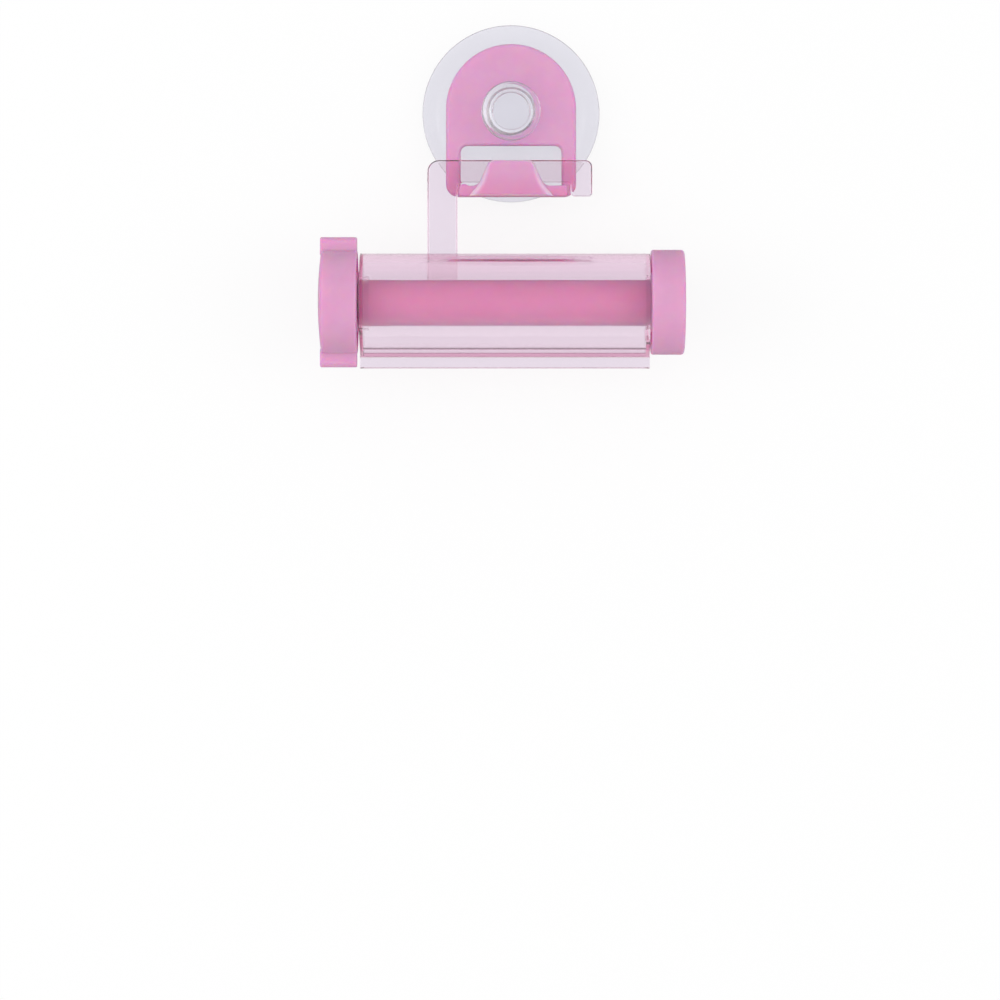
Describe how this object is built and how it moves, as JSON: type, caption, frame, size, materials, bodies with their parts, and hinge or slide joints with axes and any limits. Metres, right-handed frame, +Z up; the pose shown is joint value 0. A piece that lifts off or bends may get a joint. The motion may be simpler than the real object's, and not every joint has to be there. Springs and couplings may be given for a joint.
{
  "type": "toothpaste tube squeezer",
  "caption": "Wall-hung tube squeezer: a suction cup with a hook plate carries a clear trough, in which a slotted spindle with a winged knob winds up the tail of a tube.",
  "frame": {"origin": "centre of the suction cup's rim, on the wall it sticks to", "axes": "+X to the right along the spindle towards the end cap, +Y into the wall, +Z up; the front faces -Y"},
  "size_m": [0.0919, 0.0337, 0.0879],
  "materials": {
    "clear_vinyl": "clear soft vinyl, glossy",
    "pink_plastic": "opaque pink moulded plastic, satin",
    "tinted_clear": "clear moulded plastic with a pink tint, polished"
  },
  "bodies": {
    "wall_cup": {"suction_cup": "clear_vinyl"},
    "hook": {"hook_plate": "pink_plastic"},
    "holder": {"holder_shell": "tinted_clear"},
    "winding_key": {"split_spindle": "pink_plastic", "winding_knob": "pink_plastic"},
    "cap": {"end_cap": "pink_plastic"}
  },
  "joints": [
    {"name": "hook_swivel", "type": "hinge", "parent": "wall_cup", "child": "hook", "pos_m": [0, -0.007, 0], "axis": [0, 1, 0], "continuous": true},
    {"name": "holder_lift", "type": "slide", "parent": "hook", "child": "holder", "axis": [0, 0, 1], "range_m": [0, 0.0045]},
    {"name": "key_turn", "type": "hinge", "parent": "holder", "child": "winding_key", "pos_m": [0, -0.0206, -0.04876], "axis": [1, 0, 0], "continuous": true},
    {"name": "end_cap_pull", "type": "slide", "parent": "winding_key", "child": "cap", "axis": [1, 0, 0], "range_m": [0, 0.012]}
  ]
}
